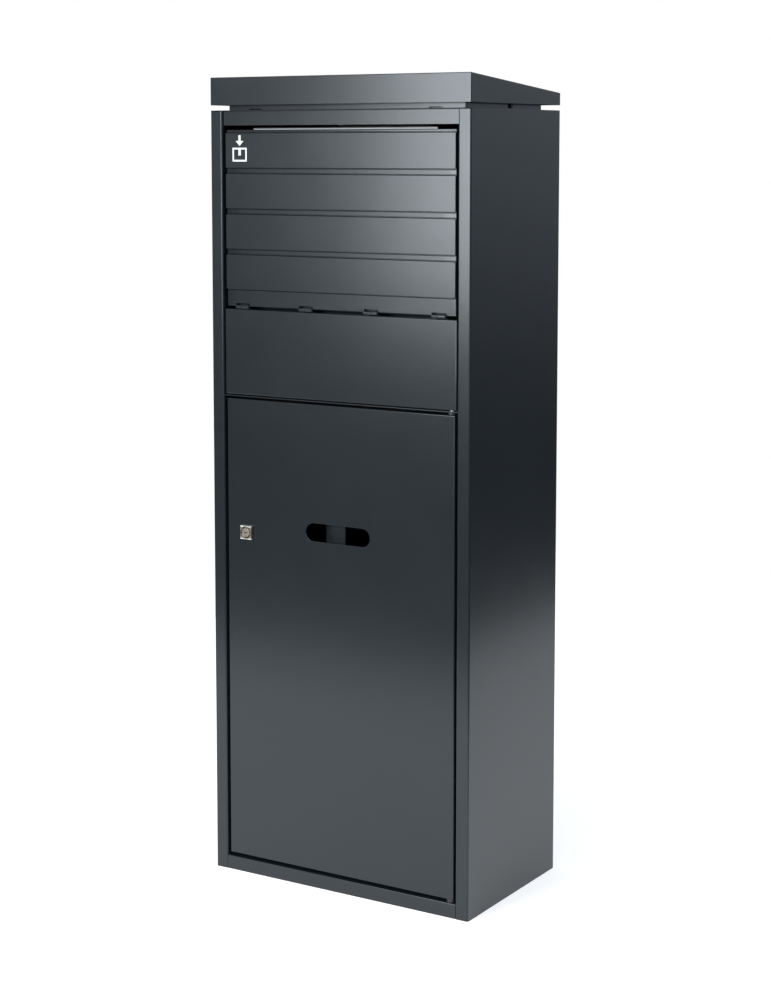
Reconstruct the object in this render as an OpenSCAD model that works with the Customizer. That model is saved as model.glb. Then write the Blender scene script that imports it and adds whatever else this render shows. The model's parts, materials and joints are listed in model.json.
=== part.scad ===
// Free-standing parcel locker of folded steel sheet.
// +X is right seen from the front, the front faces -Y, +Z is up.
// The origin is the middle of the footprint, on the floor.

/* [Cabinet] */
// Width over the side panels
cabinet_w = 450; // [360:5:600]
// Depth from the front flanges to the back flanges
cabinet_d = 270; // [220:5:360]
// Height of the cabinet without neck and roof
cabinet_h = 1170; // [1050:5:1450]
// Thickness of all body sheets
sheet = 1.5; // [1:0.1:2]
// Width of the front flanges of the side panels
flange_w = 21; // [15:1:40]
// Depth of the lips that turn in from the front flanges
lip_d = 16.5; // [14:0.5:18]
// Width of the back flanges of the side panels
back_flange_w = 18; // [12:1:30]
// Outer bend radius of the side panels
bend_r = 2.5; // [2.2:0.1:5]

/* [Base] */
// Height of the front rail of the base
base_rail_h = 21.5; // [15:0.5:40]
// Distance of the anchor holes from the sides
anchor_edge_x = 60; // [40:1:90]
// Distance of the anchor holes from front and back
anchor_edge_y = 50; // [35:1:80]
// Radius of the anchor holes
anchor_r = 5.5; // [4:0.5:8]
// Distance of the wall holes from the sides
wall_edge_x = 75; // [50:1:110]
// Height of the lower wall holes
wall_low_z = 300; // [150:10:400]
// Distance of the upper wall holes below the cabinet top
wall_top_drop = 170; // [100:10:300]
// Radius of the wall holes
wall_hole_r = 4.25; // [3:0.25:6]

/* [Roof] */
// Gap between the cabinet top and the roof skirt
roof_gap = 7.7; // [4:0.1:15]
// Height of the roof at the front
roof_front_h = 41.5; // [30:0.5:80]
// Height of the roof at the back
roof_back_h = 18.5; // [12:0.5:28]
// Distance of the neck from the sides and the front
neck_inset = 20; // [10:1:40]
// Distance of the neck from the back
neck_back_inset = 23; // [10:1:40]

/* [Hatch] */
// Height of the drop-in hatch
hatch_h = 263.8; // [220:0.1:320]
// Height of the rail above the hatch
top_rail_h = 21; // [16:0.5:40]
// Gap between the top rail and the hatch
hatch_top_gap = 6.5; // [6:0.5:12]
// Gap under the hatch
hatch_bottom_gap = 4.4; // [4.2:0.1:6]
// Gap at each side of the hatch
hatch_side_gap = 4.8; // [3:0.1:8]
// Number of slats on the hatch
slat_count = 4; // [3:1:6]
// Height of the joint between two slats
slat_joint = 9; // [4:0.5:15]
// Height of the plain strip above the slats
hatch_top_strip = 4.8; // [2:0.1:10]
// Height of the plain band under the slats
hatch_band_h = 26; // [15:0.5:40]
// How far the slats stand proud of the hatch
slat_proud = 3; // [2.5:0.1:4]
// Full opening angle of the hatch
hatch_open = 60; // [40:1:65]
// Number of hinges along the hatch
hinge_count = 4; // [2:1:6]
// Width of one hatch hinge
hinge_w = 23; // [18:1:40]
// Distance of the outer hinges from the hatch edge
hinge_edge = 28.2; // [20:0.1:60]
// Radius of the hatch hinge pins
hinge_pin_r = 1.5; // [1:0.1:2]
// Slope of the tail sheet off the vertical
tail_slope = 10; // [8:0.5:14]

/* [Door] */
// Height of the fixed panel between hatch and door
middle_panel_h = 129; // [90:1:200]
// Gap between the fixed panel and the door header
header_gap = 1.6; // [1.5:0.1:4]
// Gap above the door
door_top_gap = 3.7; // [3:0.1:8]
// Gap below the door
door_bottom_gap = 5; // [3:0.1:8]
// Gap at each side of the door
door_side_gap = 4.5; // [4.2:0.1:8]
// Depth of the door pan
door_d = 15; // [14:0.5:15]
// How far door and fixed panel sit behind the flange faces
front_recess = 2; // [1.5:0.1:2.5]
// Distance of the door pivot from the door edge and the door face
pivot_inset = 8; // [7.6:0.1:8.2]
// Radius of the door pivot pins
pivot_r = 3; // [2:0.1:3]
// Running clearance of all pins in their bores
run_fit = 0.05; // [0.03:0.01:0.1]

/* [Hand slot and lock] */
// Length of the hand slot
slot_l = 113; // [90:1:130]
// Height of the hand slot
slot_h = 27.5; // [22:0.5:34]
// Distance of the hand slot below the door top
slot_drop = 191.5; // [120:0.5:260]
// Side of the square lock face
lock_face = 21.2; // [20:0.1:26]
// Radius of the lock plug
plug_r = 6.5; // [5:0.1:7]
// How far the lock face stands out of the door
lock_proud = 5; // [2:0.1:6]
// Distance of the lock from the door edge
lock_edge = 35.8; // [30:0.1:38]
// Distance of the lock below the door top
lock_drop = 203.2; // [120:0.1:260]

/* [Electric latch and controller] */
// Radius of the latch bolt
bolt_r = 4; // [3:0.1:5]
// Travel of the latch bolt
bolt_travel = 12; // [10:0.5:12]
// Width of the controller case
case_w = 160; // [120:5:200]
// Depth of the controller case
case_d = 95; // [90:1:110]
// Height of the controller case
case_h = 38.5; // [32:0.5:50]

/* [Hidden] */
$fn = 32;

half_w = cabinet_w / 2;
half_d = cabinet_d / 2;
front_y = -half_d;
in_x = half_w - sheet;            // inner face of a side panel
opening_x = half_w - flange_w;    // inner face of a lip
lip_y = front_y + lip_d;          // back edge of a lip
back_y = half_d - 2 * sheet;      // inner face of the back panel
back_x = half_w - bend_r;         // half width of the back panel, between the bends
under_top = cabinet_h - sheet;    // underside of the top plate
over = 1;                         // how far a cutting shape runs past a face
hole_play = 0.2;                  // play of a screw in its hole
touch_gap = 0.4;                  // gap where a moving part comes to rest

// Heights, stacked down from the top
hatch_z1 = under_top - top_rail_h - hatch_top_gap;
hatch_z0 = hatch_z1 - hatch_h;
mid_z1 = hatch_z0 - hatch_bottom_gap;
mid_z0 = mid_z1 - middle_panel_h;
header_z1 = mid_z0 - header_gap;
header_z0 = header_z1 - sheet;
door_z1 = header_z0 - door_top_gap;
door_z0 = base_rail_h + door_bottom_gap;

// Hatch
axis_y = front_y + 5;             // hatch hinge axis
axis_z = hatch_z0 - 0.6;
hatch_x = opening_x - hatch_side_gap;
hatch_flange_d = 22;
grip_y = front_y + 21;            // back face of the grip lip
grip_x = hatch_x - 39.6;
grip_rise = 3.5;
knuckle_r = hinge_pin_r + 1.7;
fixed_knuckle_r = hinge_pin_r + 1.1;
knuckle_w = 8;
hinge_pitch = 2 * (hatch_x - hinge_edge) / (hinge_count - 1);
hinge_xs = [for (i = [0:hinge_count - 1]) -hatch_x + hinge_edge + i * hinge_pitch];
slat_h = (hatch_h - hatch_top_strip - hatch_band_h - (slat_count - 1) * slat_joint) / slat_count;
chute_r = cabinet_d - (axis_y - front_y) - 2 * sheet - 12;
cheek_angle = hatch_open + 6;
cheek_r = min(hatch_h - 13.8, chute_r / sin(cheek_angle));
stop_pin_r = 3;
stop_arm = cheek_r - 20;
stop_angle = hatch_open + asin((lip_y - axis_y + stop_pin_r + touch_gap) / stop_arm);
stop_y = axis_y + stop_arm * sin(stop_angle);
stop_z = axis_z + stop_arm * cos(stop_angle);
cheek_x = hatch_x - sheet;        // outer face of a cheek
rivet_r = 2;

// Tail: starts behind the hatch's bottom flange and hangs down inside
tail_y0 = axis_y + hatch_flange_d + 0.3;
tail_z0 = hatch_z0 + sheet;
tail_r = chute_r - 7;
tail_start = [tail_y0 - axis_y, tail_z0 - axis_z];
tail_dir = [sin(tail_slope), -cos(tail_slope)];
tail_dot = tail_start * tail_dir;
tail_l = -tail_dot + sqrt(tail_dot * tail_dot - tail_start * tail_start + tail_r * tail_r);
tail_narrow = 10;
function tail_front(z) = tail_y0 + (tail_z0 - z) * tan(tail_slope);

// Header and its buffers
header_back_y = front_y + 35;
header_up = 28;
buffer_r = 7;
buffer_z = header_z1 + 16;
buffer_x = opening_x * 0.6;

// Fixed panel
face_y = front_y + front_recess;  // face of door and fixed panel
mid_x = opening_x - 2;
mid_back_y = front_y + 23;
panel_screw_r = 2;
panel_screw_y = front_y + 11;
panel_screw_zs = [mid_z0 + 25, mid_z1 - 25];

// Door
door_x = opening_x - door_side_gap;
door_back_y = face_y + door_d;
door_return = 10;
pivot_x = door_x - pivot_inset;
pivot_y = face_y + pivot_inset;
pin_head_h = 1.3;
pin_in_door = 7;
bush_r = pivot_r + 1.6;
bush_flange_r = pivot_r + 2.3;
slot_z = door_z1 - slot_drop;
lock_x = -door_x + lock_edge;
lock_z = door_z1 - lock_drop;
lock_face_y = face_y - lock_proud;
lock_body_r = plug_r + 2.5;
lock_back_y = door_back_y - 1;
cam_y = lip_y + 1.3;              // front face of the cam, behind the lip
cam_t = 2;
cam_l = lock_x + opening_x + 5.6;
spigot = 7;
key_w = 8.4;
key_t = 1.4;
key_d = 7;
stiffener_x = door_x * 0.55;
grip_gap = 12;                    // from the door face to the grip plate
grip_edge = 6;
grip_flat = 18;
grip_r = 30;
grip_half_h = slot_h / 2 + 8;
stop_zs = [door_z0 + 95, door_z1 - 90];
stop_tab_y = door_back_y + 6;

// Neck and roof
neck_x = half_w - neck_inset;
neck_y0 = front_y + neck_inset;
neck_y1 = half_d - neck_back_inset;
neck_foot = 18;
neck_screw_r = 2.5;
neck_screw_in = 10;
skirt_z = cabinet_h + roof_gap;
roof_z0 = skirt_z + roof_front_h;
roof_z1 = skirt_z + roof_back_h;
roof_screw_y = 15;
roof_screw_z = cabinet_h + 5;
function roof_z(y) = roof_z0 + (roof_z1 - roof_z0) * (y - front_y) / cabinet_d;

// Latch and controller, under the top plate
bolt_y = front_y + 13;
bolt_rest_z = hatch_z1 + 6.2;
latch_x = 22;
latch_y0 = front_y + 5.6;
latch_y1 = front_y + 51;
latch_z = bolt_rest_z + 1.8;
latch_wall = 2;
latch_ear = 10;
latch_guide = 3;
latch_screw_r = 2;
collar_h = 2;
case_y0 = 0;
case_wall = 2;
case_z = under_top - case_h;
cover_t = 2;
case_boss_r = 5;
cable_r = 1.75;
cable_x = 12;
cable_z = under_top - 8;
cell_r = 7.25;
cell_l = 50;
board_z = under_top - 17;
board_t = 1.6;
case_screw_r = 1.5;

paint = [0.21, 0.23, 0.25];
steel = [0.72, 0.73, 0.74];
nickel = [0.78, 0.74, 0.66];
nylon = [0.80, 0.80, 0.76];
rubber = [0.08, 0.08, 0.08];
black = [0.12, 0.12, 0.13];

// A box between two corners
module block(a, b) {
    translate(a) cube(b - a);
}

// Extrudes a shape drawn in Y and Z along X
module along_x(x0, x1) {
    translate([x0, 0, 0]) rotate([90, 0, 90]) linear_extrude(x1 - x0) children();
}

// Extrudes a shape drawn in X and Z along Y
module along_y(y0, y1) {
    translate([0, y1, 0]) rotate([90, 0, 0]) linear_extrude(y1 - y0) children();
}

// Extrudes a shape drawn in X and Y along Z
module along_z(z0, z1) {
    translate([0, 0, z0]) linear_extrude(z1 - z0) children();
}

// A round bar along one axis between two places on it
module bar_x(x0, x1, y, z, r) {
    translate([x0, y, z]) rotate([0, 90, 0]) cylinder(h = x1 - x0, r = r);
}

module bar_y(y0, y1, x, z, r) {
    translate([x, y1, z]) rotate([90, 0, 0]) cylinder(h = y1 - y0, r = r);
}

module bar_z(z0, z1, x, y, r) {
    translate([x, y, z0]) cylinder(h = z1 - z0, r = r);
}

// A flat rectangle between two corners, with round corners
module round_rect(a, b, r) {
    translate(a + [r, 0]) square([b[0] - a[0] - 2 * r, b[1] - a[1]]);
    translate(a + [0, r]) square([b[0] - a[0], b[1] - a[1] - 2 * r]);
    for (x = [a[0] + r, b[0] - r], y = [a[1] + r, b[1] - r])
        translate([x, y]) circle(r = r);
}

module both_sides() {
    children();
    mirror([1, 0, 0]) children();
}

// ---- cabinet ----

module side_panel() {
    difference() {
        along_z(0, cabinet_h) difference() {
            round_rect([opening_x, front_y], [half_w, half_d], bend_r);
            round_rect([opening_x + sheet, front_y + sheet], [in_x, half_d - sheet], bend_r - sheet);
            translate([opening_x - over, lip_y])
                square([half_w - back_flange_w - opening_x + over, cabinet_d]);
        }
        block([opening_x - over, front_y - over, under_top], [in_x, half_d + over, cabinet_h + over]);
        for (z = panel_screw_zs)
            bar_x(opening_x - over, opening_x + sheet + over, panel_screw_y, z, panel_screw_r + hole_play);
    }
}

module left_side_panel() {
    color(paint) mirror([1, 0, 0]) side_panel();
}

module right_side_panel() {
    color(paint) side_panel();
}

module back_panel() {
    color(paint) difference() {
        block([-back_x, back_y, sheet], [back_x, half_d - sheet, under_top]);
        for (x = [-half_w + wall_edge_x, half_w - wall_edge_x], z = [wall_low_z, cabinet_h - wall_top_drop])
            bar_y(back_y - over, half_d, x, z, wall_hole_r);
    }
}

module base_pan() {
    rail_y = front_y + 0.5;
    sill_y = front_y + 23;
    color(paint) difference() {
        union() {
            block([-in_x, lip_y, 0], [in_x, back_y, sheet]);
            block([-back_x, back_y - over, 0], [back_x, half_d - sheet, sheet]);
            along_x(-opening_x, opening_x) {
                translate([rail_y, 0]) square([lip_y - rail_y, sheet]);
                translate([rail_y, 0]) square([sheet, base_rail_h]);
                translate([rail_y, base_rail_h - sheet]) square([sill_y - rail_y, sheet]);
                translate([sill_y - sheet, base_rail_h - 11]) square([sheet, 11]);
            }
        }
        for (x = [-half_w + anchor_edge_x, half_w - anchor_edge_x],
             y = [front_y + anchor_edge_y, half_d - anchor_edge_y])
            bar_z(-over, sheet + over, x, y, anchor_r);
        bar_z(base_rail_h - sheet - over, base_rail_h + over, pivot_x, pivot_y, pivot_r + run_fit);
    }
}

module neck_screw_places() {
    for (x = [-neck_x + neck_screw_in, neck_x - neck_screw_in],
         y = [neck_y0 + neck_screw_in, neck_y1 - neck_screw_in])
        translate([x, y, 0]) children();
}

module latch_screw_places() {
    for (x = [-latch_x - latch_ear / 2, latch_x + latch_ear / 2])
        translate([x, (latch_y0 + latch_y1) / 2, 0]) children();
}

module top_plate() {
    color(paint) difference() {
        block([-in_x, front_y + 0.5, under_top], [in_x, half_d, cabinet_h]);
        neck_screw_places() bar_z(under_top - over, cabinet_h + over, 0, 0, neck_screw_r + hole_play);
        latch_screw_places() bar_z(under_top - over, cabinet_h + over, 0, 0, latch_screw_r + hole_play);
    }
}

module top_rail() {
    rail_y = front_y + 4;
    leg_d = 9;
    color(paint) difference() {
        along_x(-opening_x, opening_x) {
            translate([rail_y, under_top - top_rail_h]) square([sheet, top_rail_h]);
            translate([rail_y, under_top - sheet]) square([leg_d, sheet]);
        }
        block([-latch_x - touch_gap, rail_y + sheet, under_top - sheet - over],
              [latch_x + touch_gap, rail_y + leg_d + over, under_top + over]);
    }
}

// Outline of all that lies more than a given depth under the roof's top face
module under_roof(depth) {
    polygon([[front_y, cabinet_h - over], [front_y, roof_z(front_y) - depth],
             [half_d, roof_z(half_d) - depth], [half_d, cabinet_h - over]]);
}

module roof_neck() {
    vent_l = 21;
    vent_h = 2.2;
    vent_x = neck_x - 49;
    color(paint) difference() {
        intersection() {
            along_z(cabinet_h, roof_z0) difference() {
                translate([-neck_x, neck_y0]) square([2 * neck_x, neck_y1 - neck_y0]);
                translate([-neck_x + neck_foot, neck_y0 + neck_foot])
                    square([2 * (neck_x - neck_foot), neck_y1 - neck_y0 - 2 * neck_foot]);
            }
            along_x(-half_w, half_w) under_roof(sheet);
        }
        block([-neck_x + sheet, neck_y0 + sheet, cabinet_h + sheet],
              [neck_x - sheet, neck_y1 - sheet, roof_z0]);
        both_sides() block([vent_x - vent_l / 2, neck_y0 - over, cabinet_h - over],
                           [vent_x + vent_l / 2, neck_y0 + sheet + over, cabinet_h + vent_h]);
        neck_screw_places() bar_z(cabinet_h - over, cabinet_h + sheet + over, 0, 0, neck_screw_r + hole_play);
        both_sides() bar_x(neck_x - sheet - over, neck_x + over, roof_screw_y, roof_screw_z,
                           neck_screw_r + hole_play);
    }
}

module neck_screws() {
    color(steel) neck_screw_places() {
        bar_z(under_top - 6, cabinet_h + sheet, 0, 0, neck_screw_r);
        bar_z(cabinet_h + sheet, cabinet_h + sheet + 2.8, 0, 0, neck_screw_r * 1.9);
    }
}

module neck_nuts() {
    color(steel) neck_screw_places() difference() {
        translate([0, 0, under_top - 4]) cylinder(h = 4, r = neck_screw_r * 1.85, $fn = 6);
        bar_z(under_top - 4 - over, under_top + over, 0, 0, neck_screw_r + run_fit);
    }
}

module roof_cap() {
    color(paint) difference() {
        along_x(-half_w, half_w) polygon([[front_y, skirt_z], [front_y, roof_z0],
                                          [half_d, roof_z1], [half_d, skirt_z]]);
        along_x(-in_x, in_x) intersection() {
            under_roof(sheet);
            translate([front_y + sheet, skirt_z - over])
                square([cabinet_d - 2 * sheet, roof_front_h + over]);
        }
    }
}

module roof_brackets() {
    x1 = neck_x - sheet;
    reach = 16;
    half_l = 20;
    z0 = cabinet_h + 2 * sheet;
    color(steel) both_sides() difference() {
        intersection() {
            block([x1 - reach, roof_screw_y - half_l, z0], [x1, roof_screw_y + half_l, roof_z0]);
            along_x(0, half_w) under_roof(sheet);
        }
        intersection() {
            block([x1 - reach - over, roof_screw_y - half_l - over, z0 - over],
                  [x1 - sheet, roof_screw_y + half_l + over, roof_z0]);
            along_x(0, half_w) under_roof(2 * sheet);
        }
        bar_x(x1 - sheet - over, x1 + over, roof_screw_y, roof_screw_z, neck_screw_r + hole_play);
    }
}

module roof_screws() {
    color(black) both_sides() {
        bar_x(neck_x - 10, neck_x, roof_screw_y, roof_screw_z, neck_screw_r);
        bar_x(neck_x, neck_x + 2.2, roof_screw_y, roof_screw_z, 3.8);
    }
}

module middle_panel() {
    color(paint) difference() {
        block([-mid_x, face_y, mid_z0], [mid_x, mid_back_y, mid_z1]);
        block([-mid_x + sheet, face_y + sheet, mid_z0 + sheet],
              [mid_x - sheet, mid_back_y + over, mid_z1 - sheet]);
        both_sides() for (z = panel_screw_zs)
            bar_x(mid_x - sheet - over, mid_x + over, panel_screw_y, z, panel_screw_r + hole_play);
    }
}

module panel_spacers() {
    color(nylon) both_sides() for (z = panel_screw_zs) difference() {
        bar_x(mid_x, opening_x, panel_screw_y, z, 5);
        bar_x(mid_x - over, opening_x + over, panel_screw_y, z, panel_screw_r + hole_play);
    }
}

module panel_screws() {
    color(steel) both_sides() for (z = panel_screw_zs) {
        bar_x(mid_x - sheet, opening_x + sheet + 4.5, panel_screw_y, z, panel_screw_r);
        bar_x(mid_x - sheet - 2.2, mid_x - sheet, panel_screw_y, z, panel_screw_r * 1.9);
    }
}

module panel_nuts() {
    x0 = opening_x + sheet;
    color(steel) both_sides() for (z = panel_screw_zs) difference() {
        translate([x0, panel_screw_y, z]) rotate([0, 90, 0]) cylinder(h = 3.2, r = 4, $fn = 6);
        bar_x(x0 - over, x0 + 3.2 + over, panel_screw_y, z, panel_screw_r + run_fit);
    }
}

module door_header() {
    color(paint) difference() {
        along_x(-opening_x, opening_x) {
            translate([face_y, header_z0]) square([header_back_y - face_y, sheet]);
            translate([header_back_y - sheet, header_z0]) square([sheet, header_up + sheet]);
        }
        bar_z(header_z0 - over, header_z1 + over, pivot_x, pivot_y, pivot_r + run_fit);
    }
}

module hatch_buffers() {
    color(rubber) both_sides()
        bar_y(header_back_y, tail_front(buffer_z + buffer_r) - touch_gap, buffer_x, buffer_z, buffer_r);
}

module frame_hinge_leaves() {
    color(paint) for (x = hinge_xs) difference() {
        union() {
            block([x - hinge_w / 2, axis_y + 4, mid_z1], [x + hinge_w / 2, mid_back_y - 1, mid_z1 + sheet]);
            block([x - hinge_w / 2, axis_y, mid_z1], [x - hinge_w / 2 + knuckle_w, axis_y + 4, mid_z1 + sheet + 0.3]);
            bar_x(x - hinge_w / 2, x - hinge_w / 2 + knuckle_w, axis_y, axis_z, fixed_knuckle_r);
        }
        bar_x(x - hinge_w, x + hinge_w, axis_y, axis_z, hinge_pin_r + run_fit);
    }
}

module hatch_hinge_pins() {
    color(steel) for (x = hinge_xs) {
        bar_x(x - hinge_w / 2, x + hinge_w / 2 - 0.5, axis_y, axis_z, hinge_pin_r);
        bar_x(x - hinge_w / 2 - 0.4, x - hinge_w / 2, axis_y, axis_z, hinge_pin_r + 0.6);
    }
}

module door_pivot_pins() {
    color(steel) {
        bar_z(base_rail_h - sheet, door_z0 + sheet + pin_in_door, pivot_x, pivot_y, pivot_r);
        bar_z(base_rail_h - sheet - pin_head_h, base_rail_h - sheet, pivot_x, pivot_y, pivot_r + 2);
        bar_z(door_z1 - sheet - pin_in_door, header_z1, pivot_x, pivot_y, pivot_r);
        bar_z(header_z1, header_z1 + pin_head_h, pivot_x, pivot_y, pivot_r + 2);
    }
}

module door_pivot_washers() {
    washer_r = pivot_r + 3.5;
    color(nylon) difference() {
        union() {
            bar_z(base_rail_h, door_z0 - touch_gap / 2, pivot_x, pivot_y, washer_r);
            bar_z(door_z1 + touch_gap / 2, header_z0, pivot_x, pivot_y, washer_r);
        }
        bar_z(0, cabinet_h, pivot_x, pivot_y, pivot_r + run_fit);
    }
}

module door_stops() {
    x0 = -opening_x - sheet;
    half_l = 14;
    color(paint) for (z = stop_zs) {
        block([x0 - sheet, front_y + 5, z - half_l], [x0, stop_tab_y + sheet, z + half_l]);
        block([x0 - sheet, stop_tab_y, z - half_l], [-door_x + door_return + 2, stop_tab_y + sheet, z + half_l]);
    }
}

module door_buffers() {
    color(rubber) for (z = stop_zs)
        bar_y(door_back_y + touch_gap, stop_tab_y, -door_x + door_return / 2, z, 5);
}

// ---- electric latch and controller ----

module latch_housing() {
    color(black) difference() {
        union() {
            block([-latch_x, latch_y0, latch_z], [latch_x, latch_y1, under_top]);
            block([-latch_x - latch_ear, latch_y0 + 8, under_top - latch_guide],
                  [latch_x + latch_ear, latch_y1 - 8, under_top]);
        }
        block([-latch_x + latch_wall, latch_y0 + latch_wall, latch_z + latch_guide],
              [latch_x - latch_wall, latch_y1 - latch_wall, under_top + over]);
        bar_z(latch_z - over, latch_z + latch_guide + over, 0, bolt_y, bolt_r + run_fit);
        latch_screw_places() bar_z(latch_z, under_top + over, 0, 0, latch_screw_r + hole_play);
    }
}

module latch_motor() {
    r = 6;
    y0 = bolt_y + bolt_r + 3;
    y1 = latch_y1 - latch_wall;
    color(steel) {
        bar_y(y0, y1, 0, latch_z + latch_guide + r, r);
        bar_y(y0 - 1.2, y0, 0, latch_z + latch_guide + r, 1);
    }
}

module latch_screws() {
    color(steel) latch_screw_places() {
        bar_z(under_top - latch_guide, cabinet_h, 0, 0, latch_screw_r);
        bar_z(under_top - latch_guide - 2.2, under_top - latch_guide, 0, 0, latch_screw_r * 1.9);
    }
}

module latch_bolt() {
    collar_z = latch_z + latch_guide + bolt_travel + 0.2;
    color(steel) {
        bar_z(bolt_rest_z, collar_z + collar_h, 0, bolt_y, bolt_r);
        bar_z(collar_z, collar_z + collar_h, 0, bolt_y, bolt_r + 1.2);
    }
}

module case_corners(inset) {
    for (x = [-case_w / 2 + inset, case_w / 2 - inset], y = [case_y0 + inset, case_y0 + case_d - inset])
        translate([x, y, 0]) children();
}

module board_corners() {
    for (x = [-case_w / 2 + 16, -8], y = [case_y0 + 14, case_y0 + case_d - 14])
        translate([x, y, 0]) children();
}

module controller_case() {
    color(black) difference() {
        union() {
            difference() {
                block([-case_w / 2, case_y0, case_z], [case_w / 2, case_y0 + case_d, under_top]);
                block([-case_w / 2 + case_wall, case_y0 + case_wall, case_z - over],
                      [case_w / 2 - case_wall, case_y0 + case_d - case_wall, under_top - case_wall]);
            }
            case_corners(case_boss_r) bar_z(case_z, under_top - case_wall, 0, 0, case_boss_r);
            board_corners() bar_z(board_z + board_t, under_top - case_wall, 0, 0, 3);
        }
        case_corners(case_boss_r) bar_z(case_z - over, case_z + 12, 0, 0, case_screw_r + hole_play);
    }
}

module controller_cover() {
    color(black) difference() {
        block([-case_w / 2, case_y0, case_z - cover_t], [case_w / 2, case_y0 + case_d, case_z]);
        case_corners(case_boss_r)
            bar_z(case_z - cover_t - over, case_z + over, 0, 0, case_screw_r + hole_play);
    }
}

module circuit_board() {
    x0 = -case_w / 2 + 11;
    y0 = case_y0 + 9;
    y1 = case_y0 + case_d - 9;
    color([0.05, 0.30, 0.16]) block([x0, y0, board_z], [-3, y1, board_z + board_t]);
    color(black) {
        block([x0 + 20, y0 + 24, board_z - 1.8], [x0 + 36, y0 + 40, board_z]);
        block([x0 + 42, y0 + 10, board_z - 3.2], [x0 + 56, y0 + 26, board_z]);
        block([x0 + 12, y0 + 2, board_z - 8], [x0 + 30, y0 + 12, board_z]);
    }
}

module battery_cells() {
    x0 = 12;
    color([0.25, 0.32, 0.36]) for (i = [0:3])
        let (y = case_y0 + 20 + i * (2 * cell_r + 3), z = case_z + cell_r) {
            bar_x(x0, x0 + cell_l - 1.5, y, z, cell_r);
            bar_x(x0 + cell_l - 1.5, x0 + cell_l, y, z, 2.7);
        }
}

module case_screws() {
    color(steel) case_corners(case_boss_r) {
        bar_z(case_z - cover_t, case_z + 10, 0, 0, case_screw_r);
        bar_z(case_z - cover_t - 1.8, case_z - cover_t, 0, 0, case_screw_r * 1.9);
    }
}

module latch_cable() {
    color(black) bar_y(latch_y1, case_y0, cable_x, cable_z, cable_r);
}

module cable_clips() {
    clip_w = 8;
    run = case_y0 - latch_y1;
    color(nylon) for (y = [latch_y1 + run * 0.25, latch_y1 + run * 0.75]) difference() {
        block([cable_x - 5, y - clip_w / 2, cable_z - cable_r - 1.5], [cable_x + 5, y + clip_w / 2, under_top]);
        bar_y(y - clip_w, y + clip_w, cable_x, cable_z, cable_r + run_fit);
    }
}

// ---- hatch ----

function slat_top(i) = hatch_z1 - hatch_top_strip - i * (slat_h + slat_joint);

module hatch_pan() {
    return_h = 14;
    top_back_y = grip_y - sheet;
    color(paint) difference() {
        union() {
            difference() {
                block([-hatch_x, axis_y, hatch_z0], [hatch_x, axis_y + hatch_flange_d, hatch_z1]);
                block([-hatch_x + sheet, axis_y + sheet, hatch_z0 + sheet],
                      [hatch_x - sheet, axis_y + hatch_flange_d + over, hatch_z1 - sheet]);
            }
            block([-hatch_x, axis_y, hatch_z1 - sheet], [hatch_x, top_back_y, hatch_z1]);
            block([-hatch_x, top_back_y - sheet, hatch_z1 - return_h], [hatch_x, top_back_y, hatch_z1]);
        }
        for (x = hinge_xs)
            block([x - hinge_w / 2 - 0.7, axis_y - over, hatch_z0 - over],
                  [x + hinge_w / 2 + 0.7, axis_y + 3.8, hatch_z0 + 4.3]);
        block([-hatch_x + sheet, top_back_y, hatch_z1 - sheet - over],
              [hatch_x - sheet, axis_y + hatch_flange_d + over, hatch_z1 + over]);
        bar_z(hatch_z1 - sheet - over, hatch_z1 + over, 0, bolt_y, bolt_r + 0.8);
        rivet_places() bar_y(axis_y - over, axis_y + sheet + over, 0, 0, rivet_r + run_fit);
    }
}

module rivet_places() {
    for (i = [0:slat_count - 1], x = [-hatch_x + 30, hatch_x - 30])
        translate([x, 0, slat_top(i) - slat_h / 2]) children();
}

// One slat: a shallow tray, counted from the top
module slat(i) {
    z1 = slat_top(i);
    y0 = axis_y - slat_proud;
    color(paint) difference() {
        block([-hatch_x, y0, z1 - slat_h], [hatch_x, axis_y, z1]);
        block([-hatch_x + sheet, y0 + sheet, z1 - slat_h + sheet], [hatch_x - sheet, axis_y + over, z1 - sheet]);
    }
}

module top_slat() {
    slat(0);
}

module upper_slats() {
    for (i = [1:slat_count - 2]) slat(i);
}

module bottom_slat() {
    slat(slat_count - 1);
}

module slat_rivets() {
    color(steel) rivet_places() {
        bar_y(axis_y - slat_proud + sheet, axis_y + sheet, 0, 0, rivet_r);
        bar_y(axis_y + sheet, axis_y + sheet + 1.4, 0, 0, rivet_r * 1.9);
    }
}

module grip_lip() {
    color(paint) block([-grip_x, grip_y - sheet, hatch_z1 - 12], [grip_x, grip_y, hatch_z1 + grip_rise]);
}

module cheek() {
    far = 2 * cheek_r;
    color(paint) difference() {
        along_x(cheek_x - sheet, cheek_x) intersection() {
            translate([axis_y, axis_z]) circle(r = cheek_r, $fn = 96);
            polygon([[axis_y + sheet, hatch_z0 + sheet + 5], [axis_y + sheet, axis_z + far],
                     [axis_y + far, axis_z + far],
                     [axis_y + far * sin(cheek_angle), axis_z + far * cos(cheek_angle)],
                     [axis_y + hatch_flange_d, axis_z + hatch_flange_d / tan(cheek_angle)]]);
        }
        bar_x(cheek_x - sheet - over, cheek_x + over, stop_y, stop_z, rivet_r + run_fit);
    }
}

module left_cheek() {
    mirror([1, 0, 0]) cheek();
}

module right_cheek() {
    cheek();
}

module stop_pins() {
    color(steel) both_sides() {
        bar_x(cheek_x, opening_x + sheet + 3.5, stop_y, stop_z, stop_pin_r);
        bar_x(cheek_x - sheet, cheek_x, stop_y, stop_z, rivet_r);
        bar_x(cheek_x - sheet - 1.4, cheek_x - sheet, stop_y, stop_z, rivet_r * 1.8);
    }
}

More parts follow.
